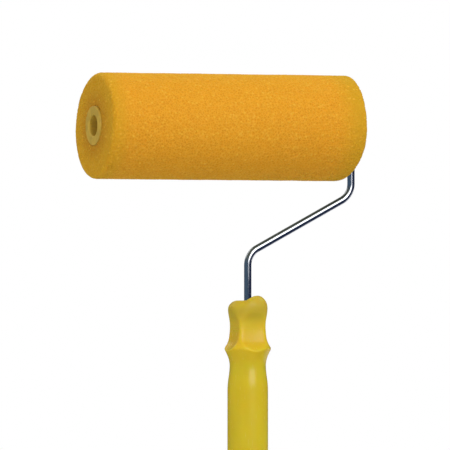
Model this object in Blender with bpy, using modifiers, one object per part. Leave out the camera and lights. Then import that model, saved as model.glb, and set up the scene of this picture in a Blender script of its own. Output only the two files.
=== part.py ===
"""Paint roller: a coarse foam cover that turns on a bent wire frame with a moulded handle.

Metres. +Z runs up the handle's axis, +X along the roller towards the arm, -Y is the front.
The origin is the centre of the handle's lower end, in the mouth of the pole socket.
"""

import math

import bpy
import bmesh
from mathutils import Matrix, Vector

MM = 0.001
GAP = 0.3 * MM  # clearance between neighbouring pieces

# Roller cover
AXLE_Z = 275 * MM
COVER_LEFT = -135 * MM
COVER_RIGHT = 85 * MM
FOAM_RADIUS = 43 * MM
FOAM_RIM = 4 * MM
TUBE_RADIUS = 16 * MM
TUBE_WALL = 2 * MM

# End bushes, turned about the axle
FLANGE_PROUD = 1.2 * MM
FLANGE_THICK = 2.3 * MM
RECESS_RADIUS = 8.5 * MM
RECESS_DEPTH = 12 * MM
WEB_THICK = 4 * MM
BEARING_RADIUS = 3.3 * MM

# Wire frame, seen from the front
WIRE_RADIUS = 3 * MM
WIRE_FOOT_Z = 52 * MM
SHANK_BEND_Z = 172 * MM
ARM_X = 91.7 * MM
ARM_BEND_Z = 220.5 * MM
WIRE_TIP_X = -127.4 * MM
SHANK_BEND_RADIUS = 15.5 * MM
ARM_BEND_RADIUS = 15.5 * MM
AXLE_BEND_RADIUS = 9 * MM

# Axle hardware
WASHER_RADIUS = 7 * MM
WASHER_THICK = 1.1 * MM
COLLAR_RADIUS = 5.5 * MM
COLLAR_LENGTH = 4 * MM
CAP_FLANGE_RADIUS = 6 * MM
CAP_DOME_RADIUS = 4.3 * MM
CAP_LENGTH = 3.6 * MM
CAP_WALL = 0.8 * MM

# Handle
HANDLE_TOP = 134 * MM
LOBE_TOP = 137.9 * MM
RIDGE_Z = 95 * MM
RIDGE_RADIUS = 18.9 * MM
GRIP_RADIUS = 16.5 * MM
SCOOP_COUNT = 4
SCOOP_Z = 108.3 * MM
SCOOP_CENTRE = 21 * MM
SCOOP_SIZE = Vector((9 * MM, 30 * MM, 15.2 * MM))  # radial, sideways and upright half sizes
LOBE_ANGLE = math.radians(-45)  # the taller half of the top faces the front right
LOBE_FOOT = 1.8 * MM  # the slope up to it starts this far from the handle's axis
LOBE_SLOPE = math.radians(29)
SOCKET_RADIUS = 12.4 * MM
SOCKET_DEPTH = 44 * MM
CORE_TOP = 84 * MM
BOSS_RADIUS = 6 * MM
BOSS_FOOT_Z = 48 * MM
RIB_THICK = 2 * MM

# Pole socket insert, pressed into the handle's lower end
INSERT_WALL = 1.4 * MM
THREAD_PITCH = 5 * MM
THREAD_DEPTH = 1.3 * MM
THREAD_TURNS = 6
INSERT_LENGTH = 42 * MM

ROUND = 48  # sides of a turned piece
SMALL_ROUND = 32  # sides of a small turned piece

COLOURS = {
    "foam": ((0.75, 0.32, 0.03), 0.9, 0.0),
    "bush": ((0.42, 0.30, 0.09), 0.5, 0.0),
    "tube": ((0.55, 0.47, 0.33), 0.6, 0.0),
    "steel": ((0.62, 0.64, 0.68), 0.2, 1.0),
    "zinc": ((0.58, 0.58, 0.56), 0.35, 1.0),
    "handle": ((0.62, 0.46, 0.035), 0.28, 0.0),
    "insert": ((0.10, 0.10, 0.10), 0.45, 0.0),
}


def clear_scene():
    for item in list(bpy.data.objects):
        bpy.data.objects.remove(item, do_unlink=True)


def new_collection(name):
    collection = bpy.data.collections.new(name)
    bpy.context.scene.collection.children.link(collection)
    return collection


def make_material(name):
    colour, roughness, metallic = COLOURS[name]
    material = bpy.data.materials.new(name)
    material.use_nodes = True
    shader = material.node_tree.nodes["Principled BSDF"]
    shader.inputs["Base Color"].default_value = (*colour, 1.0)
    shader.inputs["Roughness"].default_value = roughness
    shader.inputs["Metallic"].default_value = metallic
    return material


def add_mesh(name, mesh, collection, material=None):
    item = bpy.data.objects.new(name, mesh)
    collection.objects.link(item)
    if material:
        mesh.materials.append(material)
    return item


def smooth(item):
    item.data.shade_smooth()
    item.data.set_sharp_from_angle(angle=math.radians(35))


def arc(centre, radius, start_deg, end_deg, steps):
    """Points on an arc in the (radius, height) plane, both ends included."""
    points = []
    for i in range(steps + 1):
        angle = math.radians(start_deg + (end_deg - start_deg) * i / steps)
        points.append((centre[0] + radius * math.cos(angle), centre[1] + radius * math.sin(angle)))
    return points


def turned(name, profile, collection, material=None, sides=ROUND, closed=True):
    """Turn a (radius, height) outline about Z; it runs down its outer side and up its bore."""
    mesh = bpy.data.meshes.new(name)
    outline = bmesh.new()
    verts = [outline.verts.new((radius, 0.0, height)) for radius, height in profile]
    for first, second in zip(verts, verts[1:]):
        outline.edges.new((first, second))
    if closed:
        outline.edges.new((verts[-1], verts[0]))
    outline.to_mesh(mesh)
    outline.free()
    item = add_mesh(name, mesh, collection, material)
    screw = item.modifiers.new("Turn", "SCREW")
    screw.axis = "Z"
    screw.steps = sides
    screw.render_steps = sides
    screw.use_merge_vertices = True
    screw.merge_threshold = 0.00001
    return item


def lay_on_axle(item, x, facing):
    """Stand a turned piece on the axle: its +Z end faces -X or +X (facing -1 or 1)."""
    item.matrix_world = Matrix.Translation((x, 0.0, AXLE_Z)) @ Matrix.Rotation(
        facing * math.radians(90), 4, "Y"
    )


def cutter(name, mesh, collection, matrix):
    item = add_mesh(name, mesh, collection)
    item.matrix_world = matrix
    item.hide_render = True
    item.display_type = "WIRE"
    return item


def ball_mesh(name, size, segments=32, rings=16):
    ball = bmesh.new()
    bmesh.ops.create_uvsphere(ball, u_segments=segments, v_segments=rings, radius=1.0)
    bmesh.ops.scale(ball, vec=size, verts=ball.verts)
    mesh = bpy.data.meshes.new(name)
    ball.to_mesh(mesh)
    ball.free()
    return mesh


def cylinder_mesh(name, radius, low, high, sides=SMALL_ROUND):
    drum = bmesh.new()
    bmesh.ops.create_cone(
        drum,
        cap_ends=True,
        segments=sides,
        radius1=radius,
        radius2=radius,
        depth=high - low,
        matrix=Matrix.Translation((0.0, 0.0, (low + high) / 2)),
    )
    mesh = bpy.data.meshes.new(name)
    drum.to_mesh(mesh)
    drum.free()
    return mesh


def box_mesh(name, low, high):
    low, high = Vector(low), Vector(high)
    block = bmesh.new()
    bmesh.ops.create_cube(block, size=1.0)
    bmesh.ops.scale(block, vec=high - low, verts=block.verts)
    bmesh.ops.translate(block, vec=(low + high) / 2, verts=block.verts)
    mesh = bpy.data.meshes.new(name)
    block.to_mesh(mesh)
    block.free()
    return mesh


def boolean(item, other, operation):
    modifier = item.modifiers.new(operation.title(), "BOOLEAN")
    modifier.object = other
    modifier.operation = operation
    modifier.solver = "EXACT"


# Roller cover ---------------------------------------------------------------------------------


def make_foam(parts, material):
    """The foam sleeve: a thick tube with slightly rounded rims."""
    low, high = COVER_LEFT, COVER_RIGHT
    bore = TUBE_RADIUS + GAP
    rim = FOAM_RADIUS - FOAM_RIM
    profile = [(bore, high)]
    profile += arc((rim, high - FOAM_RIM), FOAM_RIM, 90, 0, 4)
    profile += arc((rim, low + FOAM_RIM), FOAM_RIM, 0, -90, 4)
    profile += [(bore, low)]
    foam = turned("foam_sleeve", profile, parts, material)
    lay_on_axle(foam, 0.0, 1)
    smooth(foam)
    return foam


def make_core_tube(parts, material):
    low = COVER_LEFT - FLANGE_PROUD + FLANGE_THICK + GAP
    high = COVER_RIGHT - FLANGE_THICK - GAP
    inner = TUBE_RADIUS - TUBE_WALL
    profile = [(inner, high), (TUBE_RADIUS, high), (TUBE_RADIUS, low), (inner, low)]
    tube = turned("core_tube", profile, parts, material)
    lay_on_axle(tube, 0.0, 1)
    smooth(tube)
    return tube


def make_bush(name, x, facing, parts, material):
    """An end bush: flange, spigot in the tube, and a bearing web behind a round recess."""
    spigot = TUBE_RADIUS - TUBE_WALL - GAP
    depth = RECESS_DEPTH + WEB_THICK
    profile = [
        (RECESS_RADIUS, 0.0),
        (TUBE_RADIUS, 0.0),
        (TUBE_RADIUS, -FLANGE_THICK),
        (spigot, -FLANGE_THICK),
        (spigot, -depth),
        (BEARING_RADIUS, -depth),
        (BEARING_RADIUS, -RECESS_DEPTH),
        (RECESS_RADIUS, -RECESS_DEPTH),
    ]
    bush = turned(name, profile, parts, material)
    lay_on_axle(bush, x, facing)
    smooth(bush)
    return bush


# Axle hardware --------------------------------------------------------------------------------


def make_ring(name, x, length, outer, parts, material):
    """A washer or collar round the wire, from x towards +X."""
    inner = WIRE_RADIUS + GAP
    profile = [(inner, length), (outer, length), (outer, 0.0), (inner, 0.0)]
    ring = turned(name, profile, parts, material, sides=SMALL_ROUND)
    lay_on_axle(ring, x, 1)
    smooth(ring)
    return ring


def make_push_nut(x, parts, material):
    """A flanged cap pushed over the wire's tip; its closed dome faces -X."""
    inner = WIRE_RADIUS + GAP
    crown = CAP_LENGTH - CAP_WALL
    profile = [
        (0.0, CAP_LENGTH),
        (CAP_DOME_RADIUS * 0.6, CAP_LENGTH - 0.2 * CAP_WALL),
        (CAP_DOME_RADIUS, crown - 0.2 * CAP_WALL),
        (CAP_DOME_RADIUS, CAP_WALL),
        (CAP_FLANGE_RADIUS, CAP_WALL),
        (CAP_FLANGE_RADIUS, 0.0),
        (inner, 0.0),
        (inner, crown - CAP_WALL),
        (inner * 0.6, crown),
        (0.0, crown),
    ]
    nut = turned("push_nut", profile, parts, material, sides=SMALL_ROUND, closed=False)
    lay_on_axle(nut, x, -1)
    smooth(nut)
    return nut


# Wire frame -----------------------------------------------------------------------------------


def filleted(corners, radii, steps):
    """A polyline through corners whose inner corners are rounded by arcs of the given radii."""
    path = [corners[0]]
    for before, corner, after, radius in zip(corners, corners[1:], corners[2:], radii):
        into = (corner - before).normalized()
        out = (after - corner).normalized()
        turn = into.angle(out)
        tangent = radius * math.tan(turn / 2)
        start = corner - into * tangent
        inward = (out - into * into.dot(out)).normalized()
        centre = start + inward * radius
        for i in range(steps + 1):
            angle = turn * i / steps
            path.append(centre - inward * radius * math.cos(angle) + into * radius * math.sin(angle))
    path.append(corners[-1])
    return path


def make_wire(parts, material):
    """Shank, lower bend, slanted arm, upper bend, upright and axle, all one bent wire."""
    corners = [
        Vector((0.0, 0.0, WIRE_FOOT_Z)),
        Vector((0.0, 0.0, SHANK_BEND_Z)),
        Vector((ARM_X, 0.0, ARM_BEND_Z)),
        Vector((ARM_X, 0.0, AXLE_Z)),
        Vector((WIRE_TIP_X, 0.0, AXLE_Z)),
    ]
    radii = (SHANK_BEND_RADIUS, ARM_BEND_RADIUS, AXLE_BEND_RADIUS)
    path = filleted(corners, radii, steps=7)
    curve = bpy.data.curves.new("wire_frame", "CURVE")
    curve.dimensions = "3D"
    curve.bevel_depth = WIRE_RADIUS
    curve.bevel_resolution = 2
    curve.use_fill_caps = True
    curve.render_resolution_u = 0
    spline = curve.splines.new("POLY")
    spline.points.add(len(path) - 1)
    for point, place in zip(spline.points, path):
        point.co = (*place, 1.0)
    curve.materials.append(material)
    wire = bpy.data.objects.new("wire_frame", curve)
    parts.objects.link(wire)
    return wire


# Handle ---------------------------------------------------------------------------------------


def handle_profile():
    """Outer side from the top down, then the pole socket and the hollow grip, up to the core."""
    outer = [
        (0.0, HANDLE_TOP),
        (9.5 * MM, HANDLE_TOP),
        (12.4 * MM, HANDLE_TOP - 1.3 * MM),
        (14.7 * MM, HANDLE_TOP - 3.4 * MM),
        (16.1 * MM, HANDLE_TOP - 6 * MM),
        (16.3 * MM, HANDLE_TOP - 10 * MM),
        (16 * MM, SCOOP_Z + 1 * MM),
        (16.3 * MM, RIDGE_Z + 7 * MM),
        (RIDGE_RADIUS - 0.5 * MM, RIDGE_Z + 1 * MM),
        (RIDGE_RADIUS, RIDGE_Z),
        (RIDGE_RADIUS - 0.5 * MM, RIDGE_Z - 1 * MM),
        (15.6 * MM, RIDGE_Z - 7.5 * MM),
        (14.7 * MM, RIDGE_Z - 13.5 * MM),
        (15 * MM, RIDGE_Z - 20 * MM),
        (16.1 * MM, RIDGE_Z - 27 * MM),
        (GRIP_RADIUS, RIDGE_Z - 34 * MM),
        (GRIP_RADIUS, 3 * MM),
        (GRIP_RADIUS - 0.9 * MM, 0.9 * MM),
        (GRIP_RADIUS - 2 * MM, 0.0),
    ]
    inner = [
        (SOCKET_RADIUS, 0.0),
        (SOCKET_RADIUS, SOCKET_DEPTH),
        (SOCKET_RADIUS - 0.9 * MM, SOCKET_DEPTH + 3 * MM),
        (SOCKET_RADIUS - 0.9 * MM, CORE_TOP - 3 * MM),
        (BOSS_RADIUS, CORE_TOP),
        (0.0, CORE_TOP),
    ]
    return outer + inner


def make_lobe(cutters):
    """The taller half of the handle's top: a domed cap kept only under one slanting plane."""
    profile = [
        (0.0, LOBE_TOP),
        (9.5 * MM, LOBE_TOP),
        (12.4 * MM, LOBE_TOP - 1.6 * MM),
        (14.4 * MM, LOBE_TOP - 4 * MM),
        (15.7 * MM, LOBE_TOP - 7 * MM),
        (16 * MM, LOBE_TOP - 8.6 * MM),
        (14 * MM, HANDLE_TOP - 10 * MM),
        (0.0, HANDLE_TOP - 10 * MM),
    ]
    lobe = turned("tall_lobe", profile, cutters, closed=False)
    lobe.rotation_euler.z = LOBE_ANGLE + math.pi / ROUND
    lobe.hide_render = True
    lobe.display_type = "WIRE"

    reach = 60 * MM
    below_plane = cutter(
        "lobe_plane",
        box_mesh("lobe_plane", (-reach, -reach, -reach), (reach, reach, 0.0)),
        cutters,
        Matrix.Rotation(LOBE_ANGLE, 4, "Z")
        @ Matrix.Translation((LOBE_FOOT, 0.0, HANDLE_TOP))
        @ Matrix.Rotation(-LOBE_SLOPE, 4, "Y"),
    )
    boolean(lobe, below_plane, "INTERSECT")
    return lobe


def make_handle(parts, cutters, material):
    """A moulded grip with four finger scoops above its ridge and a boss round the wire."""
    handle = turned("handle_shell", handle_profile(), parts, material, closed=False)

    boolean(handle, make_lobe(cutters), "UNION")

    for i in range(SCOOP_COUNT):
        around = Matrix.Rotation(i * math.tau / SCOOP_COUNT, 4, "Z")
        outward = Matrix.Translation((SCOOP_CENTRE, 0.0, SCOOP_Z))
        scoop = cutter(
            f"scoop_{i + 1}", ball_mesh(f"scoop_{i + 1}", SCOOP_SIZE), cutters, around @ outward
        )
        boolean(handle, scoop, "DIFFERENCE")

    boss = cutter(
        "boss",
        cylinder_mesh("boss", BOSS_RADIUS, BOSS_FOOT_Z, CORE_TOP + 2 * MM),
        cutters,
        Matrix.Identity(4),
    )
    boolean(handle, boss, "UNION")

    rib_reach = SOCKET_RADIUS + 0.5 * MM
    for i in range(2):
        rib = cutter(
            f"rib_{i + 1}",
            box_mesh(
                f"rib_{i + 1}",
                (-rib_reach, -RIB_THICK / 2, BOSS_FOOT_Z),
                (rib_reach, RIB_THICK / 2, CORE_TOP + 2 * MM),
            ),
            cutters,
            Matrix.Rotation(math.radians(45 + 90 * i), 4, "Z"),
        )
        boolean(handle, rib, "UNION")

    bore = cutter(
        "wire_bore",
        cylinder_mesh("wire_bore", WIRE_RADIUS + GAP, WIRE_FOOT_Z - GAP, LOBE_TOP + 10 * MM),
        cutters,
        Matrix.Identity(4),
    )
    boolean(handle, bore, "DIFFERENCE")
    smooth(handle)
    return handle


def make_insert(parts, material):
    """The pole socket: a threaded sleeve, its thread drawn as rings at the thread's pitch."""
    outer = SOCKET_RADIUS - GAP
    root = outer - INSERT_WALL
    crest = root - THREAD_DEPTH
    profile = [(root, INSERT_LENGTH), (outer, INSERT_LENGTH), (outer, 0.0), (root + 0.4 * MM, 0.0)]
    first = 3 * MM
    for i in range(THREAD_TURNS):
        low = first + i * THREAD_PITCH
        profile += [
            (root, low),
            (crest, low + 0.3 * THREAD_PITCH),
            (crest, low + 0.45 * THREAD_PITCH),
            (root, low + 0.75 * THREAD_PITCH),
        ]
    insert = turned("pole_insert", profile, parts, material, sides=SMALL_ROUND)
    smooth(insert)
    return insert


def make_axle_hardware(parts, material):
    free_web = COVER_LEFT - FLANGE_PROUD + RECESS_DEPTH
    arm_web = COVER_RIGHT - RECESS_DEPTH
    free_washer_x = free_web - GAP - WASHER_THICK
    arm_washer_x = arm_web + GAP
    collar_x = arm_washer_x + WASHER_THICK + GAP
    make_ring("free_end_washer", free_washer_x, WASHER_THICK, WASHER_RADIUS, parts, material)
    make_ring("frame_end_washer", arm_washer_x, WASHER_THICK, WASHER_RADIUS, parts, material)
    make_ring("stop_collar", collar_x, COLLAR_LENGTH, COLLAR_RADIUS, parts, material)
    make_push_nut(free_washer_x - GAP, parts, material)


def main():
    clear_scene()
    parts = new_collection("paint_roller")
    cutters = new_collection("cutters")
    materials = {name: make_material(name) for name in COLOURS}

    turning = bpy.data.objects.new("roller_axis", None)
    turning.location = (0.0, 0.0, AXLE_Z)
    parts.objects.link(turning)
    bpy.context.view_layer.update()

    rotating = [
        make_foam(parts, materials["foam"]),
        make_core_tube(parts, materials["tube"]),
        make_bush("free_end_bush", COVER_LEFT - FLANGE_PROUD, -1, parts, materials["bush"]),
        make_bush("frame_end_bush", COVER_RIGHT, 1, parts, materials["bush"]),
    ]
    for item in rotating:
        item.parent = turning
        item.matrix_parent_inverse = turning.matrix_world.inverted()

    make_axle_hardware(parts, materials["zinc"])
    make_wire(parts, materials["steel"])
    make_handle(parts, cutters, materials["handle"])
    make_insert(parts, materials["insert"])


main()
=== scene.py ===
"""Paint roller, visual model: foam cover, bent chrome wire, moulded yellow handle, axle hardware.

Every length is in metres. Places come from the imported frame's boxes.
"""

import math

import bmesh
import bpy
import numpy as np
from mathutils import Matrix, Vector


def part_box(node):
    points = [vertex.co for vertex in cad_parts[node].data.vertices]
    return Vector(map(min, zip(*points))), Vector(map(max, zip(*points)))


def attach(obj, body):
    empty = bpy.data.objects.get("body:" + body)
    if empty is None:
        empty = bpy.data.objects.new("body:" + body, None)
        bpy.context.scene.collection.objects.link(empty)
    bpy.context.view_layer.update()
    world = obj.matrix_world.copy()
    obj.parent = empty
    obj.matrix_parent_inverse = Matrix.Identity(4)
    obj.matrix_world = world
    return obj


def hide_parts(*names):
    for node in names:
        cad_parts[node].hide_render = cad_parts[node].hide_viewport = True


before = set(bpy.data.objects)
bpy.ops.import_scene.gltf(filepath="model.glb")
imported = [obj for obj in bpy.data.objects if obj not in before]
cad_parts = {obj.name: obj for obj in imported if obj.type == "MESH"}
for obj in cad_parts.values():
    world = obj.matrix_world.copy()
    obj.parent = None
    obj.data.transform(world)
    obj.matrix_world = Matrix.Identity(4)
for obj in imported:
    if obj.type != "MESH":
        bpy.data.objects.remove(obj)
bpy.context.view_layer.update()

MM = 0.001
GAP = 0.3 * MM  # between a part and the bore it sits in
ON_AXIS = 1e-7  # a point nearer the axis than this lies on it

# Places read from the frame -------------------------------------------------------------------

foam_low, foam_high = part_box("foam_sleeve")
wire_low, wire_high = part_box("wire_frame")
free_bush_low, free_bush_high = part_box("free_end_bush")
arm_bush_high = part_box("frame_end_bush")[1]
handle_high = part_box("handle_shell")[1]
insert_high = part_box("pole_insert")[1]

WIRE_RADIUS = 3 * MM
AXLE_Z = wire_high.z - WIRE_RADIUS
ARM_X = wire_high.x - WIRE_RADIUS
FOAM_RADIUS = foam_high.z - AXLE_Z
COVER_LEFT = foam_low.x
COVER_RIGHT = foam_high.x
TUBE_RADIUS = free_bush_high.z - AXLE_Z


# Mesh helpers ---------------------------------------------------------------------------------


def link(name, mesh):
    item = bpy.data.objects.new(name, mesh)
    bpy.context.scene.collection.objects.link(item)
    return item


def grid_object(name, rings, close_rows=False):
    """A mesh from rows of points; each row is a ring, and end rows may be single points."""
    mesh = bpy.data.meshes.new(name)
    points, faces, starts = [], [], []
    for ring in rings:
        starts.append(len(points))
        points.extend(ring)
    pairs = list(zip(range(len(rings) - 1), range(1, len(rings))))
    if close_rows:
        pairs.append((len(rings) - 1, 0))
    for first, second in pairs:
        count = max(len(rings[first]), len(rings[second]))
        for i in range(count):
            j = (i + 1) % count
            if len(rings[first]) == 1:
                faces.append((starts[first], starts[second] + i, starts[second] + j))
            elif len(rings[second]) == 1:
                faces.append((starts[first] + j, starts[first] + i, starts[second]))
            else:
                a, b = starts[first], starts[second]
                faces.append((a + j, a + i, b + i, b + j))
    mesh.from_pydata([tuple(p) for p in points], [], faces)
    mesh.shade_smooth()
    return link(name, mesh)


def face_outwards(item):
    shape = bmesh.new()
    shape.from_mesh(item.data)
    bmesh.ops.recalc_face_normals(shape, faces=shape.faces)
    shape.to_mesh(item.data)
    shape.free()


def keep_flats(item):
    """Flat faces beside small rounded edges keep their own normals."""
    modifier = item.modifiers.new("Flats", "WEIGHTED_NORMAL")
    modifier.keep_sharp = True
    modifier.weight = 100


def fillet(outline, radius, steps=4):
    """Round every corner of a closed (radius, height) outline, except those on the axis."""
    rounded = []
    count = len(outline)
    for i in range(count):
        before, corner, after = (Vector(outline[(i + k) % count]) for k in (-1, 0, 1))
        into, out = corner - before, after - corner
        if min(corner.x, into.length, out.length) < ON_AXIS:
            rounded.append(tuple(corner))
            continue
        turn = into.angle(out)
        if turn < math.radians(4):
            rounded.append(tuple(corner))
            continue
        cut = min(radius * math.tan(turn / 2), 0.45 * into.length, 0.45 * out.length)
        start, end = corner - into.normalized() * cut, corner + out.normalized() * cut
        for k in range(steps + 1):
            t = k / steps
            point = start * (1 - t) ** 2 + corner * 2 * t * (1 - t) + end * t**2
            rounded.append(tuple(point))
    return rounded


def lathe(name, outline, centre, sides=96, edge=0.25 * MM, facing=1):
    """Turn a closed (radius, height) outline about the X direction through centre."""
    profile = fillet(outline, edge)
    on_axis = [i for i, p in enumerate(profile) if p[0] < ON_AXIS]
    closed = len(on_axis) < 2
    if not closed:
        first = on_axis[-1] if on_axis[-1] != len(profile) - 1 else on_axis[0]
        if on_axis == [0, len(profile) - 1]:
            first = 0
        profile = profile[first:] + profile[:first]
    rings = []
    for radius, height in profile:
        if radius < ON_AXIS:
            turned = [Vector((0.0, 0.0, height))]
        else:
            turned = [
                Vector((radius * math.cos(a), radius * math.sin(a), height))
                for a in (math.tau * i / sides for i in range(sides))
            ]
        rings.append(turned)
    item = grid_object(name, rings, close_rows=closed)
    turn = Matrix.Rotation(facing * math.radians(90), 4, "Y")
    item.data.transform(Matrix.Translation(centre) @ turn)
    face_outwards(item)
    keep_flats(item)
    return item


def finish_piece(item, body, slot, material, *nodes):
    item.data.materials.clear()
    item.data.materials.append(material)
    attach(item, body)
    if nodes:
        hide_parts(*nodes)
    return item


# Material helpers -----------------------------------------------------------------------------


class Nodes:
    """Short calls for building a material's node tree."""

    def __init__(self, name):
        self.material = bpy.data.materials.new(name)
        self.material.use_nodes = True
        self.tree = self.material.node_tree
        self.shader = self.tree.nodes["Principled BSDF"]
        self.place = self.add("ShaderNodeTexCoord").outputs["Object"]

    def add(self, kind, **settings):
        node = self.tree.nodes.new(kind)
        for key, value in settings.items():
            setattr(node, key, value)
        return node

    def join(self, source, target):
        self.tree.links.new(source, target)

    def fill(self, socket, value):
        if isinstance(value, bpy.types.NodeSocket):
            self.join(value, socket)
        else:
            socket.default_value = value

    def noise(self, scale, detail=2.0, vector=None):
        node = self.add("ShaderNodeTexNoise")
        node.inputs["Scale"].default_value = scale
        node.inputs["Detail"].default_value = detail
        self.join(vector or self.place, node.inputs["Vector"])
        return node.outputs["Fac"]

    def voronoi(self, scale, feature="F1", output="Distance"):
        node = self.add("ShaderNodeTexVoronoi", feature=feature)
        node.inputs["Scale"].default_value = scale
        self.join(self.place, node.inputs["Vector"])
        return node.outputs[output]

    def channel(self, colour, index):
        node = self.add("ShaderNodeSeparateColor")
        self.join(colour, node.inputs[0])
        return node.outputs[index]

    def ramp(self, value, low, high, out_low=0.0, out_high=1.0, smooth=True):
        node = self.add("ShaderNodeMapRange")
        node.interpolation_type = "SMOOTHSTEP" if smooth else "LINEAR"
        self.fill(node.inputs["Value"], value)
        node.inputs["From Min"].default_value = low
        node.inputs["From Max"].default_value = high
        node.inputs["To Min"].default_value = out_low
        node.inputs["To Max"].default_value = out_high
        return node.outputs["Result"]

    def math(self, operation, a, b=0.0):
        node = self.add("ShaderNodeMath", operation=operation)
        self.fill(node.inputs[0], a)
        self.fill(node.inputs[1], b)
        return node.outputs[0]

    def mix(self, factor, a, b):
        node = self.add("ShaderNodeMix", data_type="RGBA")
        self.fill(node.inputs["Factor"], factor)
        for socket, value in ((node.inputs[6], a), (node.inputs[7], b)):
            self.fill(socket, (*value, 1.0) if isinstance(value, tuple) and len(value) == 3 else value)
        return node.outputs[2]

    def stretched(self, x, y, z):
        node = self.add("ShaderNodeVectorMath", operation="MULTIPLY")
        self.join(self.place, node.inputs[0])
        node.inputs[1].default_value = (x, y, z)
        return node.outputs[0]

    def part(self, axis):
        node = self.add("ShaderNodeSeparateXYZ")
        self.join(self.place, node.inputs[0])
        return node.outputs[axis]

    def bump(self, height, distance, strength=1.0, after=None):
        node = self.add("ShaderNodeBump")
        node.inputs["Strength"].default_value = strength
        node.inputs["Distance"].default_value = distance
        self.join(height, node.inputs["Height"])
        if after:
            self.join(after, node.inputs["Normal"])
        return node.outputs["Normal"]

    def set(self, **values):
        for key, value in values.items():
            self.fill(self.shader.inputs[key.replace("_", " ")], value)


# Materials ------------------------------------------------------------------------------------

CELLS_PER_METRE = 430.0  # foam cells are about 2.3 mm apart
FLECKS_PER_METRE = 335.0
PORE_EDGE = (0.02, 0.30)  # in cell widths: from the middle of a strut to an open pore


def foam_material():
    n = Nodes("open_cell_foam")
    darker_orange, lighter_orange = (0.81, 0.322, 0.011), (0.85, 0.342, 0.012)
    # The lighter strut colour and the browner pore colour are painted light and shade of the cells
    speckle_orange, painted_lit_strut_orange = (0.93, 0.395, 0.016), (1.0, 0.50, 0.045)
    # Painted colours: light and shade at the foam's ends, and shade on the end faces near the core
    painted_pore_shade, painted_end_light_and_shade, painted_core_shade = (0.72, 0.25, 0.006), (0.70, 0.40, 0.013), (0.60, 0.245, 0.014)
    # Painted glint colour for the light flecks
    painted_glint_colour = (1.0, 0.55, 0.045)

    edge = n.voronoi(CELLS_PER_METRE, feature="DISTANCE_TO_EDGE")
    strut = n.ramp(edge, 0.02, 0.13, 1.0, 0.0)
    pore = n.ramp(edge, 0.12, 0.34)
    cell = n.channel(n.voronoi(CELLS_PER_METRE, output="Color"), 0)
    open_pore = n.math("MULTIPLY", pore, n.ramp(cell, 0.1, 0.9, 0.1, 1.0))

    base = n.mix(n.ramp(n.noise(60.0, detail=3.0), 0.3, 0.7), darker_orange, lighter_orange)
    base = n.mix(n.ramp(n.noise(700.0, detail=2.0), 0.3, 0.7), base, speckle_orange)
    # Painted light and shade of the cells: struts lighter, open pores browner
    colour = n.mix(n.math("MULTIPLY", strut, 0.6), base, painted_lit_strut_orange)
    colour = n.mix(n.math("MULTIPLY", open_pore, 0.12), colour, painted_pore_shade)

    # Painted light and shade towards both ends: yellower and a little darker, in place of light through
    # the foam's rims and shade on the rounded ends
    along = n.part("X")
    left_zone = n.ramp(along, COVER_LEFT + 3 * MM, COVER_LEFT + 18 * MM, 0.5, 0.0)
    right_zone = n.ramp(along, COVER_RIGHT - 26 * MM, COVER_RIGHT, 0.0, 0.7)
    colour = n.mix(n.math("ADD", left_zone, right_zone), colour, painted_end_light_and_shade)

    # Painted shade: browner on the end faces, close to the core and the bush
    across = n.math("POWER", n.part("Y"), 2.0)
    above = n.math("POWER", n.math("SUBTRACT", n.part("Z"), AXLE_Z), 2.0)
    from_axle = n.math("SQRT", n.math("ADD", across, above))
    colour = n.mix(n.ramp(from_axle, 13 * MM, 36 * MM, 0.85, 0.0), colour, painted_core_shade)

    # Painted glints: light flecks scattered over the foam where cut struts would catch the light, with
    # lower roughness
    chance = n.channel(n.voronoi(FLECKS_PER_METRE, output="Color"), 1)
    near = n.ramp(n.voronoi(FLECKS_PER_METRE), 0.10, 0.44, 1.0, 0.0)
    lit = n.math("MULTIPLY", near, n.ramp(chance, 0.5, 0.8))
    colour = n.mix(n.math("MULTIPLY", lit, 0.85), colour, painted_glint_colour)

    raised = n.math("ADD", lit, n.math("MULTIPLY", strut, 0.5))
    height = n.math("SUBTRACT", raised, n.math("MULTIPLY", open_pore, 0.25))
    rough = n.ramp(lit, 0.0, 1.0, 0.7, 0.5, smooth=False)
    n.set(Base_Color=colour, Roughness=rough, Normal=n.bump(height, 0.35 * MM, 0.6))
    n.set(Specular_IOR_Level=0.15, Sheen_Weight=0.3, Sheen_Roughness=0.5)
    n.set(Sheen_Tint=(1.0, 0.85, 0.05, 1.0))
    n.set(Subsurface_Weight=0.2, Subsurface_Radius=(1.0, 0.6, 0.1), Subsurface_Scale=6 * MM)
    return n.material


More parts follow.
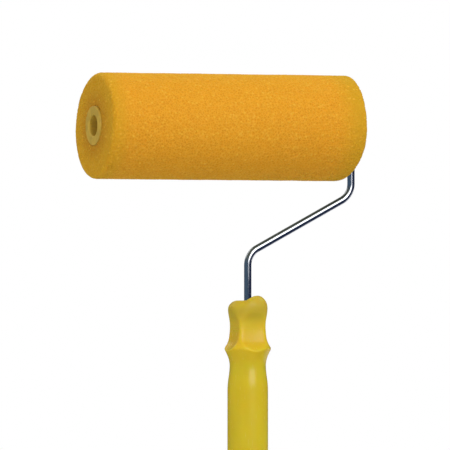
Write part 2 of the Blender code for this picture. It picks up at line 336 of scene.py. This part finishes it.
def handle_material():
    n = Nodes("moulded_yellow")
    darker_yellow, lighter_yellow = (0.80, 0.60, 0.024), (0.85, 0.63, 0.026)
    # The scoop colour is painted shade in the hollows
    painted_scoop_shade, top_olive = (0.88, 0.52, 0.018), (0.62, 0.475, 0.03)

    swirl = n.noise(55.0, detail=2.0, vector=n.stretched(1.0, 1.0, 0.35))
    colour = n.mix(n.ramp(swirl, 0.3, 0.75), darker_yellow, lighter_yellow)
    height = n.part("Z")
    # Painted shade: a warmer, slightly darker orange in the scoops' hollows, between the waist and the
    # top
    above_waist = n.ramp(height, 90 * MM, 100 * MM, 0.0, 1.0)
    below_top = n.ramp(height, 100 * MM, 116 * MM, 1.0, 0.0)
    scoops = n.math("MULTIPLY", above_waist, below_top)
    colour = n.mix(n.math("MULTIPLY", scoops, 0.35), colour, painted_scoop_shade)
    # Darker and greyer towards the top
    colour = n.mix(n.ramp(height, 112 * MM, 126 * MM, 0.0, 0.75), colour, top_olive)

    scuffs = n.ramp(n.noise(900.0, detail=3.0, vector=n.stretched(1.0, 1.0, 0.12)), 0.62, 0.72)
    polish = n.ramp(swirl, 0.2, 0.8, 0.20, 0.27, smooth=False)
    rough = n.math("ADD", polish, n.math("MULTIPLY", scuffs, 0.1))
    rough = n.math("ADD", rough, n.ramp(height, 108 * MM, 120 * MM, 0.0, 0.25))
    waves = n.bump(n.noise(140.0, detail=1.0), 0.25 * MM, 0.5)
    normal = n.bump(n.noise(2600.0, detail=1.0), 0.02 * MM, 0.35, after=waves)
    n.set(Base_Color=colour, Roughness=rough, Normal=normal)
    n.set(Subsurface_Weight=0.85, Subsurface_Radius=(1.0, 0.7, 0.15), Subsurface_Scale=8 * MM)
    n.set(Coat_Weight=0.08, Coat_Roughness=0.18, IOR=1.49)
    return n.material


def bush_material():
    n = Nodes("bush_plastic")
    colour = (0.80, 0.52, 0.06)
    cloud = n.noise(120.0, detail=3.0)
    darker = tuple(c * 0.8 for c in colour)
    n.set(Base_Color=n.mix(n.ramp(cloud, 0.35, 0.7), colour, darker))
    n.set(Roughness=n.ramp(cloud, 0.3, 0.7, 0.42, 0.55, smooth=False))
    n.set(Normal=n.bump(n.noise(1500.0, detail=2.0), 0.05 * MM, 0.4))
    n.set(Subsurface_Weight=0.15, Subsurface_Radius=(1.0, 0.7, 0.3), Subsurface_Scale=1.5 * MM)
    return n.material


def steel_material(name, colour, rough, grain):
    """Bright metal with faint drawn lines and small blemishes."""
    n = Nodes(name)
    cloud = n.noise(300.0, detail=4.0)
    scratch = n.noise(grain, detail=2.0, vector=n.stretched(1.0, 1.0, 0.15))
    dull = tuple(c * 0.86 for c in colour)
    n.set(Base_Color=n.mix(n.ramp(cloud, 0.45, 0.75), colour, dull))
    n.set(Roughness=n.ramp(cloud, 0.3, 0.8, rough, rough + 0.1, smooth=False))
    n.set(Metallic=1.0, Normal=n.bump(scratch, 0.01 * MM, 0.3))
    return n.material


def tube_material():
    n = Nodes("core_tube_plastic")
    rings = n.noise(700.0, detail=2.0, vector=n.stretched(1.0, 0.1, 0.1))
    n.set(Base_Color=n.mix(rings, (0.48, 0.40, 0.26), (0.38, 0.31, 0.19)))
    n.set(Roughness=n.ramp(rings, 0.3, 0.7, 0.5, 0.62, smooth=False))
    n.set(Normal=n.bump(rings, 0.04 * MM, 0.4))
    return n.material


def insert_material():
    n = Nodes("insert_plastic")
    cloud = n.noise(220.0, detail=3.0)
    n.set(Base_Color=n.mix(cloud, (0.022, 0.022, 0.024), (0.05, 0.05, 0.052)))
    n.set(Roughness=n.ramp(cloud, 0.3, 0.7, 0.38, 0.5, smooth=False))
    n.set(Normal=n.bump(n.noise(1800.0, detail=2.0), 0.04 * MM, 0.4))
    return n.material


# Foam cover -----------------------------------------------------------------------------------

FOAM_STEP = 0.88 * MM  # spacing of the foam's surface points
LEFT_RIM = 4.6 * MM
RIGHT_RIM = 3 * MM
LEFT_LEAN = 1.8 * MM  # the cut ends aren't square: each leans over the cover's radius
RIGHT_LEAN_UP = 4.7 * MM
RIGHT_LEAN_FRONT = 4.8 * MM
RIGHT_EXTRA = 0.7 * MM  # how far the middle of the right end stands past the CAD's plain end
ARM_CLEARANCE = 0.55 * MM


def right_end(y, z):
    """Place of the crooked right end, held off the arm of the wire all round."""
    plain = COVER_RIGHT + RIGHT_EXTRA + (RIGHT_LEAN_UP * z - RIGHT_LEAN_FRONT * y) / FOAM_RADIUS
    limit = ARM_X - WIRE_RADIUS - ARM_CLEARANCE
    k = 0.4 * MM
    nearest = min(plain, limit)
    return nearest - k * math.log(math.exp((nearest - plain) / k) + math.exp((nearest - limit) / k))


def foam_profile():
    """(share of the length, offset, radius) rows: up the left end, along the side, down the right end."""
    bore = TUBE_RADIUS + GAP

    def end_rows(rim):
        face = FOAM_RADIUS - rim - bore
        count = round(face / FOAM_STEP)
        rows = [(0.0, bore + face * i / count) for i in range(count)]
        count = round(rim * math.pi / 2 / FOAM_STEP)
        for i in range(count + 1):
            angle = math.pi / 2 * i / count
            rows.append((rim * (1 - math.cos(angle)), FOAM_RADIUS - rim + rim * math.sin(angle)))
        return rows

    rows = [(0.0, offset, radius) for offset, radius in end_rows(LEFT_RIM)]
    count = round((COVER_RIGHT - COVER_LEFT - LEFT_RIM - RIGHT_RIM) / FOAM_STEP)
    for i in range(1, count):
        share = i / count
        rows.append((share, LEFT_RIM * (1 - share) - RIGHT_RIM * share, FOAM_RADIUS))
    return rows + [(1.0, -offset, radius) for offset, radius in reversed(end_rows(RIGHT_RIM))]


def foam_pores(item):
    """Press the same cells that the material shows into the surface as real pores."""
    tree = bpy.data.node_groups.new("foam_pores", "GeometryNodeTree")
    tree.interface.new_socket("Geometry", in_out="INPUT", socket_type="NodeSocketGeometry")
    tree.interface.new_socket("Geometry", in_out="OUTPUT", socket_type="NodeSocketGeometry")
    add, join = tree.nodes.new, tree.links.new
    source, result = add("NodeGroupInput"), add("NodeGroupOutput")
    place, normal = add("GeometryNodeInputPosition"), add("GeometryNodeInputNormal")
    cells = add("ShaderNodeTexVoronoi")
    cells.feature = "DISTANCE_TO_EDGE"
    cells.inputs["Scale"].default_value = CELLS_PER_METRE
    join(place.outputs[0], cells.inputs["Vector"])
    pore = add("ShaderNodeMapRange")
    pore.interpolation_type = "SMOOTHSTEP"
    pore.inputs["From Min"].default_value, pore.inputs["From Max"].default_value = PORE_EDGE
    pore.inputs["To Min"].default_value = 0.25 * MM
    pore.inputs["To Max"].default_value = -0.3 * MM
    join(cells.outputs["Distance"], pore.inputs["Value"])
    swell = add("ShaderNodeTexNoise")
    swell.inputs["Scale"].default_value = 45.0
    join(place.outputs[0], swell.inputs["Vector"])
    slow = add("ShaderNodeMapRange")
    slow.inputs["To Min"].default_value = -0.35 * MM
    slow.inputs["To Max"].default_value = 0.25 * MM
    join(swell.outputs["Fac"], slow.inputs["Value"])
    total = add("ShaderNodeMath")
    join(pore.outputs["Result"], total.inputs[0])
    join(slow.outputs["Result"], total.inputs[1])
    push = add("ShaderNodeVectorMath")
    push.operation = "SCALE"
    join(normal.outputs[0], push.inputs[0])
    join(total.outputs[0], push.inputs["Scale"])
    move = add("GeometryNodeSetPosition")
    join(source.outputs[0], move.inputs["Geometry"])
    join(push.outputs[0], move.inputs["Offset"])
    join(move.outputs[0], result.inputs[0])
    item.modifiers.new("Pores", "NODES").node_group = tree
    depsgraph = bpy.context.evaluated_depsgraph_get()
    mesh = bpy.data.meshes.new_from_object(item.evaluated_get(depsgraph))
    item.modifiers.clear()
    item.data = mesh
    bpy.data.node_groups.remove(tree)


def make_foam(material):
    around = round(math.tau * FOAM_RADIUS / FOAM_STEP)
    rings = []
    for row, (share, offset, radius) in enumerate(foam_profile()):
        ring = []
        for i in range(around):
            angle = math.tau * (i + 0.5 * (row % 2)) / around
            y, z = radius * math.cos(angle), radius * math.sin(angle)
            left = COVER_LEFT + LEFT_LEAN * z / FOAM_RADIUS
            x = left * (1 - share) + right_end(y, z) * share + offset
            ring.append((x, y, AXLE_Z + z))
        rings.append(ring)
    foam = grid_object("foam_cover", rings, close_rows=True)
    face_outwards(foam)
    foam_pores(foam)
    foam.data.shade_smooth()
    foam.visible_glossy = False
    finish_piece(foam, "roller", "foam", material, "foam_sleeve")
    return foam


# Core and bushes ------------------------------------------------------------------------------

FLANGE_THICK = 2.3 * MM
RECESS_RADIUS = 8.5 * MM
RECESS_DEPTH = 12 * MM
WEB_THICK = 4 * MM
BEARING_RADIUS = 3.3 * MM
TUBE_WALL = 2 * MM


def make_bush(name, node, x, facing, material):
    spigot = TUBE_RADIUS - TUBE_WALL - GAP
    depth = RECESS_DEPTH + WEB_THICK
    lead_in = 0.8 * MM
    outline = [
        (RECESS_RADIUS + lead_in, 0.0),
        (TUBE_RADIUS, 0.0),
        (TUBE_RADIUS, -FLANGE_THICK),
        (spigot, -FLANGE_THICK),
        (spigot, -depth),
        (BEARING_RADIUS, -depth),
        (BEARING_RADIUS, -RECESS_DEPTH),
        (RECESS_RADIUS, -RECESS_DEPTH),
        (RECESS_RADIUS, -lead_in),
    ]
    bush = lathe(name, outline, (x, 0.0, AXLE_Z), edge=0.5 * MM, facing=facing)
    return finish_piece(bush, "roller", "bush", material, node)


def make_core_tube(material):
    low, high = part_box("core_tube")
    inner = TUBE_RADIUS - TUBE_WALL
    length = high.x - low.x
    outline = [(inner, length), (TUBE_RADIUS, length), (TUBE_RADIUS, 0.0), (inner, 0.0)]
    tube = lathe("core_tube_visual", outline, (low.x, 0.0, AXLE_Z))
    return finish_piece(tube, "roller", "core_tube", material, "core_tube")


# Wire frame and axle hardware -----------------------------------------------------------------

SHANK_BEND_Z = 172 * MM
ARM_BEND_Z = 220.5 * MM
SHANK_BEND_RADIUS = 15.5 * MM
ARM_BEND_RADIUS = 15.5 * MM
AXLE_BEND_RADIUS = 9 * MM


def filleted(corners, radii, steps):
    """A path through corners whose inner corners are rounded by arcs of the given radii."""
    path = [corners[0]]
    for before, corner, after, radius in zip(corners, corners[1:], corners[2:], radii):
        into, out = (corner - before).normalized(), (after - corner).normalized()
        turn = into.angle(out)
        start = corner - into * radius * math.tan(turn / 2)
        inward = (out - into * into.dot(out)).normalized()
        centre = start + inward * radius
        for i in range(steps + 1):
            angle = turn * i / steps
            path.append(centre - inward * radius * math.cos(angle) + into * radius * math.sin(angle))
    path.append(corners[-1])
    return path


def make_wire(material):
    """One round wire, swept along its bends, with a small chamfer at both ends."""
    corners = [
        Vector((0.0, 0.0, wire_low.z)),
        Vector((0.0, 0.0, SHANK_BEND_Z)),
        Vector((ARM_X, 0.0, ARM_BEND_Z)),
        Vector((ARM_X, 0.0, AXLE_Z)),
        Vector((wire_low.x, 0.0, AXLE_Z)),
    ]
    path = filleted(corners, (SHANK_BEND_RADIUS, ARM_BEND_RADIUS, AXLE_BEND_RADIUS), steps=24)
    sides, chamfer = 40, 0.5 * MM
    across = Vector((0.0, 1.0, 0.0))
    directions = []
    for i, point in enumerate(path):
        ahead = path[min(i + 1, len(path) - 1)] - path[max(i - 1, 0)]
        directions.append(ahead.normalized())
    stations = [(path[0], directions[0], 0.0), (path[0], directions[0], WIRE_RADIUS - chamfer)]
    stations.append((path[0] + directions[0] * chamfer, directions[0], WIRE_RADIUS))
    stations += [(p, d, WIRE_RADIUS) for p, d in zip(path[1:-1], directions[1:-1])]
    stations.append((path[-1] - directions[-1] * chamfer, directions[-1], WIRE_RADIUS))
    stations += [(path[-1], directions[-1], WIRE_RADIUS - chamfer), (path[-1], directions[-1], 0.0)]
    rings = []
    for point, ahead, radius in stations:
        beside = ahead.cross(across).normalized()
        if radius == 0.0:
            rings.append([point])
            continue
        angles = (math.tau * i / sides for i in range(sides))
        rings.append([point + (across * math.cos(a) + beside * math.sin(a)) * radius for a in angles])
    wire = grid_object("wire_visual", rings)
    face_outwards(wire)
    return finish_piece(wire, "frame", "wire", material, "wire_frame")


def make_ring(node, material):
    """A washer or collar with eased edges, from its CAD box."""
    low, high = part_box(node)
    length, outer, inner = high.x - low.x, high.z - AXLE_Z, WIRE_RADIUS + 0.1 * MM
    outline = [(inner, length), (outer, length), (outer, 0.0), (inner, 0.0)]
    ring = lathe(f"{node}_visual", outline, (low.x, 0.0, AXLE_Z), sides=64, edge=0.2 * MM)
    return finish_piece(ring, "frame", "zinc", material, node)


def make_push_nut(material):
    """A domed cap over the wire's tip, with a flange of spring steel."""
    low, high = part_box("push_nut")
    length, flange = high.x - low.x, high.z - AXLE_Z
    dome, wall = flange * 0.72, 0.8 * MM
    inner = WIRE_RADIUS + 0.1 * MM
    outer_arc = [
        (dome * math.cos(a), length - dome * 0.55 + dome * 0.55 * math.sin(a))
        for a in (math.radians(90 - 9 * i) for i in range(11))
    ]
    outer_arc[0] = (0.0, length)
    outline = outer_arc + [
        (dome, wall),
        (flange, wall * 0.8),
        (flange, 0.0),
        (inner, 0.0),
        (inner, length - 2 * wall),
        (0.0, length - wall),
    ]
    nut = lathe("push_nut_visual", outline, (high.x, 0.0, AXLE_Z), sides=64, edge=0.15 * MM, facing=-1)
    return finish_piece(nut, "frame", "zinc", material, "push_nut")


# Handle ---------------------------------------------------------------------------------------

HANDLE_TOP = 134 * MM
LOBE_RISE = handle_high.z - HANDLE_TOP
LOBE_ANGLE = math.radians(-45)
LOBE_FOOT = 1.0 * MM
LOBE_RUN = 8.2 * MM
LOBE_BASE_Z = 124 * MM
WAIST_Z = 95 * MM
SCOOP_CURVE = 180 * MM  # sideways radius of a scoop's hollow
SCOOP_CURVE_LOW = 30 * MM  # the same where it runs out at the waist
SCOOP_CURVE_RUN = 10 * MM  # height over which the one turns into the other
EDGE_SOFTNESS = 0.45 * MM
TOP_SOFTNESS = 0.6 * MM  # added towards the top, where a scoop runs out softly
TOP_SOFTNESS_FROM = 103 * MM
TOP_SOFTNESS_RUN = 14 * MM
SOCKET_RADIUS = 12.4 * MM
SOCKET_DEPTH = 44 * MM
CORE_TOP = 84 * MM
BOSS_RADIUS = 6 * MM
BOSS_FOOT_Z = 48 * MM
WIRE_HOLE = WIRE_RADIUS + 0.15 * MM

# Height and radius of the round body that the scoops are cut from, in millimetres, top to bottom
BODY = (
    (134.0, 3.4), (134.0, 9.2), (133.75, 10.4), (133.1, 12.0), (132.1, 13.4), (130.7, 14.8),
    (129.0, 15.7), (127.0, 16.1), (124.0, 16.2), (120.0, 16.1), (114.0, 15.9), (108.0, 15.9),
    (104.0, 16.2), (101.0, 16.8), (98.5, 17.6), (96.8, 18.4), (95.7, 18.85), (95.0, 18.95),
    (94.3, 18.85), (93.0, 18.3), (91.0, 17.3), (88.5, 16.2), (85.5, 15.25), (82.0, 14.75),
    (78.0, 14.85), (73.0, 15.4), (68.0, 16.1), (63.0, 16.45), (57.0, 16.5), (3.2, 16.5),
    (1.4, 16.2), (0.5, 15.5), (0.0, 14.4),
)

# Height and radius of a scoop's deepest line; beyond the ends it lies outside the body
SCOOP_LINE = (
    (128.5, 18.6), (126.0, 16.6), (123.5, 14.9), (121.0, 13.5), (118.5, 12.5), (116.0, 11.9),
    (113.0, 11.6), (110.0, 11.6), (106.0, 11.9), (103.0, 12.3), (100.5, 13.0), (98.3, 14.0),
    (96.5, 15.1), (95.0, 16.2), (93.8, 17.3), (92.6, 18.5), (91.0, 20.6),
)


def smoothstep(value):
    t = min(max(value, 0.0), 1.0)
    return t * t * (3 - 2 * t)


def curve_through(points, spacing):
    """Points about spacing apart on a Catmull-Rom curve through the given (height, radius) pairs."""
    pairs = [Vector(p) for p in points]
    result = []
    for i in range(len(pairs) - 1):
        p0, p1 = pairs[max(i - 1, 0)], pairs[i]
        p2, p3 = pairs[i + 1], pairs[min(i + 2, len(pairs) - 1)]
        length = (p2 - p1).length
        reach0 = min(length / max((p1 - p0).length, 1e-9), 1.0)
        reach3 = min(length / max((p3 - p2).length, 1e-9), 1.0)
        m1 = ((p2 - p1) + (p1 - p0) * reach0) / 2
        m2 = ((p2 - p1) + (p3 - p2) * reach3) / 2
        count = max(1, round(length / spacing))
        for k in range(count):
            t = k / count
            h1, h2 = 2 * t**3 - 3 * t**2 + 1, t**3 - 2 * t**2 + t
            h3, h4 = -2 * t**3 + 3 * t**2, t**3 - t**2
            result.append(p1 * h1 + m1 * h2 + p2 * h3 + m2 * h4)
    result.append(pairs[-1])
    return result


def scoop_depth_line():
    """Radius of a scoop's deepest line as a function of height."""
    curve = curve_through([(h * MM, r * MM) for h, r in reversed(SCOOP_LINE)], 0.25 * MM)
    heights, radii = [p[0] for p in curve], [p[1] for p in curve]
    return lambda z: float(np.interp(z, heights, radii, left=1.0, right=1.0))


scoop_line = scoop_depth_line()


def scoop_radius(angle, z):
    """Radius of the nearest scoop's surface at an angle and height; large where it doesn't reach."""
    away = (angle + math.pi / 4) % (math.pi / 2) - math.pi / 4
    share = smoothstep((z - WAIST_Z) / SCOOP_CURVE_RUN)
    curve = SCOOP_CURVE_LOW + (SCOOP_CURVE - SCOOP_CURVE_LOW) * share
    centre = scoop_line(z) + curve
    inside = curve**2 - (centre * math.sin(away)) ** 2
    return centre * math.cos(away) - math.sqrt(inside) if inside > 0 else 1.0


def handle_point(angle, z, radius):
    """A point of the outer skin: scoops pressed in, and the taller half of the top raised."""
    cut = scoop_radius(angle, z)
    if cut < radius + 3 * MM:
        k = EDGE_SOFTNESS + TOP_SOFTNESS * smoothstep((z - TOP_SOFTNESS_FROM) / TOP_SOFTNESS_RUN)
        floor = min(radius, cut)
        radius = floor - k * math.log(math.exp((floor - radius) / k) + math.exp((floor - cut) / k))
    x, y = radius * math.cos(angle), radius * math.sin(angle)
    if z > LOBE_BASE_Z:
        towards = x * math.cos(LOBE_ANGLE) + y * math.sin(LOBE_ANGLE)
        rise = LOBE_RISE * smoothstep((towards - LOBE_FOOT) / LOBE_RUN)
        z += rise * (z - LOBE_BASE_Z) / (HANDLE_TOP - LOBE_BASE_Z)
    return (x, y, z)


def make_handle(material):
    around = 180
    angles = [math.tau * i / around for i in range(around)]
    rings = []
    bottom_of_bore = wire_low.z - GAP
    for z, radius in curve_through([(h * MM, r * MM) for h, r in BODY], 0.75 * MM):
        rings.append([handle_point(a, z, radius) for a in angles])
    inner = [
        (SOCKET_RADIUS + 0.5 * MM, 0.0),
        (SOCKET_RADIUS, 0.5 * MM),
        (SOCKET_RADIUS, SOCKET_DEPTH),
        (SOCKET_RADIUS - 0.9 * MM, SOCKET_DEPTH + 2.5 * MM),
        (SOCKET_RADIUS - 0.9 * MM, CORE_TOP - 3 * MM),
        (SOCKET_RADIUS - 1.5 * MM, CORE_TOP - 1 * MM),
        (BOSS_RADIUS + 1 * MM, CORE_TOP),
        (BOSS_RADIUS, CORE_TOP - 1 * MM),
        (BOSS_RADIUS, BOSS_FOOT_Z + 0.5 * MM),
        (BOSS_RADIUS - 0.5 * MM, BOSS_FOOT_Z),
    ]
    for radius, z in inner:
        rings.append([(radius * math.cos(a), radius * math.sin(a), z) for a in angles])
    rings.append([(0.0, 0.0, BOSS_FOOT_Z)])
    bore = [(0.0, bottom_of_bore), (WIRE_HOLE, bottom_of_bore), (WIRE_HOLE, HANDLE_TOP - 0.6 * MM)]
    top = []
    for radius, z in bore:
        if radius == 0.0:
            top.append([(0.0, 0.0, z)])
        else:
            top.append([(radius * math.cos(a), radius * math.sin(a), z) for a in angles])
    handle = grid_object("handle_visual", top + rings)
    face_outwards(handle)
    handle.visible_glossy = False
    return finish_piece(handle, "frame", "handle", material, "handle_shell")


def make_ribs(material):
    """Four moulded ribs between the boss and the handle's wall."""
    shape = bmesh.new()
    for i in range(4):
        block = bmesh.ops.create_cube(shape, size=1.0)["verts"]
        low, high = BOSS_RADIUS - 0.2 * MM, SOCKET_RADIUS - 0.5 * MM
        size = (high - low, 2 * MM, CORE_TOP - BOSS_FOOT_Z - 4 * MM)
        bmesh.ops.scale(shape, vec=size, verts=block)
        middle = ((low + high) / 2, 0.0, (CORE_TOP + BOSS_FOOT_Z) / 2)
        bmesh.ops.translate(shape, vec=middle, verts=block)
        turn = Matrix.Rotation(math.radians(45 + 90 * i), 3, "Z")
        bmesh.ops.rotate(shape, matrix=turn, verts=block)
    mesh = bpy.data.meshes.new("handle_ribs")
    shape.to_mesh(mesh)
    shape.free()
    ribs = link("handle_ribs", mesh)
    return finish_piece(ribs, "frame", "handle", material, "handle_shell")


THREAD_PITCH = 5 * MM
THREAD_DEPTH = 1.3 * MM
INSERT_WALL = 1.4 * MM


def make_insert(material):
    """The pole socket: a sleeve with a real helical thread inside."""
    outer = insert_high.x
    root = outer - INSERT_WALL
    height = insert_high.z
    sides, step = 96, 0.4 * MM
    angles = [math.tau * i / sides for i in range(sides)]
    rings = []
    rows = round(height / step)
    for row in range(rows + 1):
        z = height * row / rows
        ends = smoothstep((z - 1 * MM) / (4 * MM)) * smoothstep((height - 2 * MM - z) / (4 * MM))
        ring = []
        for a in angles:
            turn = (z / THREAD_PITCH - a / math.tau) % 1.0
            crest = smoothstep((0.42 - abs(turn - 0.5)) / 0.28)
            radius = root - THREAD_DEPTH * crest * ends
            ring.append((radius * math.cos(a), radius * math.sin(a), z))
        rings.append(ring)
    chamfer = 0.3 * MM
    eased = outer - chamfer
    for radius, z in ((eased, height), (outer, height - chamfer), (outer, chamfer), (eased, 0.0)):
        rings.append([(radius * math.cos(a), radius * math.sin(a), z) for a in angles])
    insert = grid_object("pole_insert_visual", rings, close_rows=True)
    face_outwards(insert)
    return finish_piece(insert, "frame", "insert", material, "pole_insert")


# Camera, floor and light ----------------------------------------------------------------------

CAMERA_AZIMUTH = math.radians(-23)
CAMERA_ELEVATION = math.radians(-1.0)
CAMERA_DISTANCE = 9.0
FRAME_WIDTH = 0.3662  # what the picture spans at the object
LEFT_OF_HANDLE = 18.5 * MM
AIM_HEIGHT = 195.5 * MM
FLOOR_Z = -0.42
FLOOR_RADIUS = 12.0
LIGHT_AIM = Vector((0.0, 0.0, 0.2))
FRONT_AMBIENT = 0.62  # even light from the front half of the room
BACK_AMBIENT = 0.36
LEFT_WALL = (0.055, 0.09, 0.135)  # what bright metal reflects
RIGHT_WALL = (0.014, 0.02, 0.05)
CEILING = (0.12, 0.13, 0.10)


def direction(azimuth, elevation):
    """Unit vector from the object towards a camera or light."""
    flat = math.cos(elevation)
    return Vector((math.sin(azimuth) * flat, -math.cos(azimuth) * flat, math.sin(elevation)))


def make_camera():
    camera = bpy.data.objects.new("camera", bpy.data.cameras.new("camera"))
    bpy.context.scene.collection.objects.link(camera)
    camera.data.sensor_width = 36.0
    camera.data.lens = 36.0 * CAMERA_DISTANCE / FRAME_WIDTH
    camera.data.clip_start, camera.data.clip_end = 0.05, 100.0
    back = direction(CAMERA_AZIMUTH, CAMERA_ELEVATION)
    sideways = Vector((math.cos(CAMERA_AZIMUTH), math.sin(CAMERA_AZIMUTH), 0.0))
    aim = sideways * -LEFT_OF_HANDLE + Vector((0.0, 0.0, AIM_HEIGHT))
    camera.location = aim + back * CAMERA_DISTANCE
    camera.rotation_euler = (-back).to_track_quat("-Z", "Y").to_euler()
    bpy.context.scene.camera = camera


def soft_light(name, azimuth, elevation, distance, size, energy):
    """A rectangle of light aimed at the object; angles in degrees, size in metres, energy in watts."""
    lamp = bpy.data.lights.new(name, "AREA")
    lamp.shape = "RECTANGLE"
    lamp.size, lamp.size_y = size
    lamp.energy = energy
    item = bpy.data.objects.new(name, lamp)
    bpy.context.scene.collection.objects.link(item)
    towards = direction(math.radians(azimuth), math.radians(elevation))
    item.location = LIGHT_AIM + towards * distance
    item.rotation_euler = (-towards).to_track_quat("-Z", "Y").to_euler()
    item.visible_camera = False
    return item


def make_world():
    """White behind the object, even soft light, and a dark studio in reflections."""
    world = bpy.data.worlds.new("studio")
    bpy.context.scene.world = world
    world.use_nodes = True
    tree = world.node_tree
    tree.nodes.clear()
    add, join = tree.nodes.new, tree.links.new
    paths, output = add("ShaderNodeLightPath"), add("ShaderNodeOutputWorld")

    def background(colour):
        node = add("ShaderNodeBackground")
        if isinstance(colour, tuple):
            node.inputs["Color"].default_value = (*colour, 1.0)
        else:
            join(colour, node.inputs["Color"])
        return node.outputs[0]

    def choose(switch, off, on):
        node = add("ShaderNodeMixShader")
        join(switch, node.inputs[0])
        join(off, node.inputs[1])
        join(on, node.inputs[2])
        return node.outputs[0]

    def blend(value, low, high, first, second):
        share = add("ShaderNodeMapRange")
        share.inputs["From Min"].default_value, share.inputs["From Max"].default_value = low, high
        join(value, share.inputs["Value"])
        node = add("ShaderNodeMix")
        node.data_type = "RGBA"
        join(share.outputs["Result"], node.inputs["Factor"])
        for socket, colour in ((node.inputs[6], first), (node.inputs[7], second)):
            if isinstance(colour, tuple):
                socket.default_value = (*colour, 1.0)
            else:
                join(colour, socket)
        return node.outputs[2]

    way = add("ShaderNodeSeparateXYZ")
    join(add("ShaderNodeTexCoord").outputs["Generated"], way.inputs[0])
    walls = blend(way.outputs["X"], -0.8, 0.8, LEFT_WALL, RIGHT_WALL)
    room = blend(way.outputs["Z"], 0.15, 0.6, walls, CEILING)
    soft = blend(way.outputs["Y"], -1.0, 1.0, (FRONT_AMBIENT,) * 3, (BACK_AMBIENT,) * 3)
    lit = choose(paths.outputs["Is Glossy Ray"], background(soft), background(room))
    seen = background((1.0, 1.0, 1.0))
    join(choose(paths.outputs["Is Camera Ray"], lit, seen), output.inputs["Surface"])


def make_floor():
    mesh = bpy.data.meshes.new("floor")
    disc = bmesh.new()
    bmesh.ops.create_circle(disc, cap_ends=True, segments=64, radius=FLOOR_RADIUS)
    disc.to_mesh(mesh)
    disc.free()
    floor = link("floor", mesh)
    floor.location.z = FLOOR_Z
    material = bpy.data.materials.new("pale_floor")
    material.use_nodes = True
    shader = material.node_tree.nodes["Principled BSDF"]
    shader.inputs["Base Color"].default_value = (0.78, 0.78, 0.78, 1.0)
    shader.inputs["Roughness"].default_value = 0.85
    mesh.materials.append(material)
    floor.visible_glossy = False


def make_lights():
    """Lights that only shade surfaces, then cards that only show in reflections."""
    soft_light("key", 5, 42, 1.7, (1.3, 1.3), 12.2).visible_glossy = False
    soft_light("left_fill", -80, 4, 2.0, (1.2, 1.2), 4.2).visible_glossy = False
    soft_light("back_key", 172, 45, 2.0, (1.3, 1.3), 7.0).visible_glossy = False
    cards = (
        soft_light("window", 5, 23.5, 2.0, (1.38, 1.34), 13.5),
        soft_light("window_foot", 5, 0.5, 2.0, (1.1, 0.32), 0.5),
        soft_light("back_window", 210, 32, 2.2, (1.2, 1.2), 2.5),
        soft_light("side_window", 110, 40, 2.2, (0.9, 1.0), 2.5),
        soft_light("low_side", 120, -22, 2.0, (2.0, 1.0), 4.0),
    )
    for card in cards:
        card.visible_diffuse = False


# Build ----------------------------------------------------------------------------------------

bpy.context.scene.view_settings.view_transform = "Standard"
make_camera()
make_world()
make_floor()
make_lights()

bush = bush_material()
zinc = steel_material("zinc_plated", (0.62, 0.62, 0.6), 0.28, 2400.0)
yellow = handle_material()
make_foam(foam_material())
make_core_tube(tube_material())
make_bush("free_bush_visual", "free_end_bush", free_bush_low.x, -1, bush)
make_bush("arm_bush_visual", "frame_end_bush", arm_bush_high.x, 1, bush)
make_wire(steel_material("bright_wire", (0.80, 0.82, 0.86), 0.10, 3000.0))
for washer in ("free_end_washer", "frame_end_washer", "stop_collar"):
    make_ring(washer, zinc)
make_push_nut(zinc)
make_handle(yellow)
make_ribs(yellow)
make_insert(insert_material())
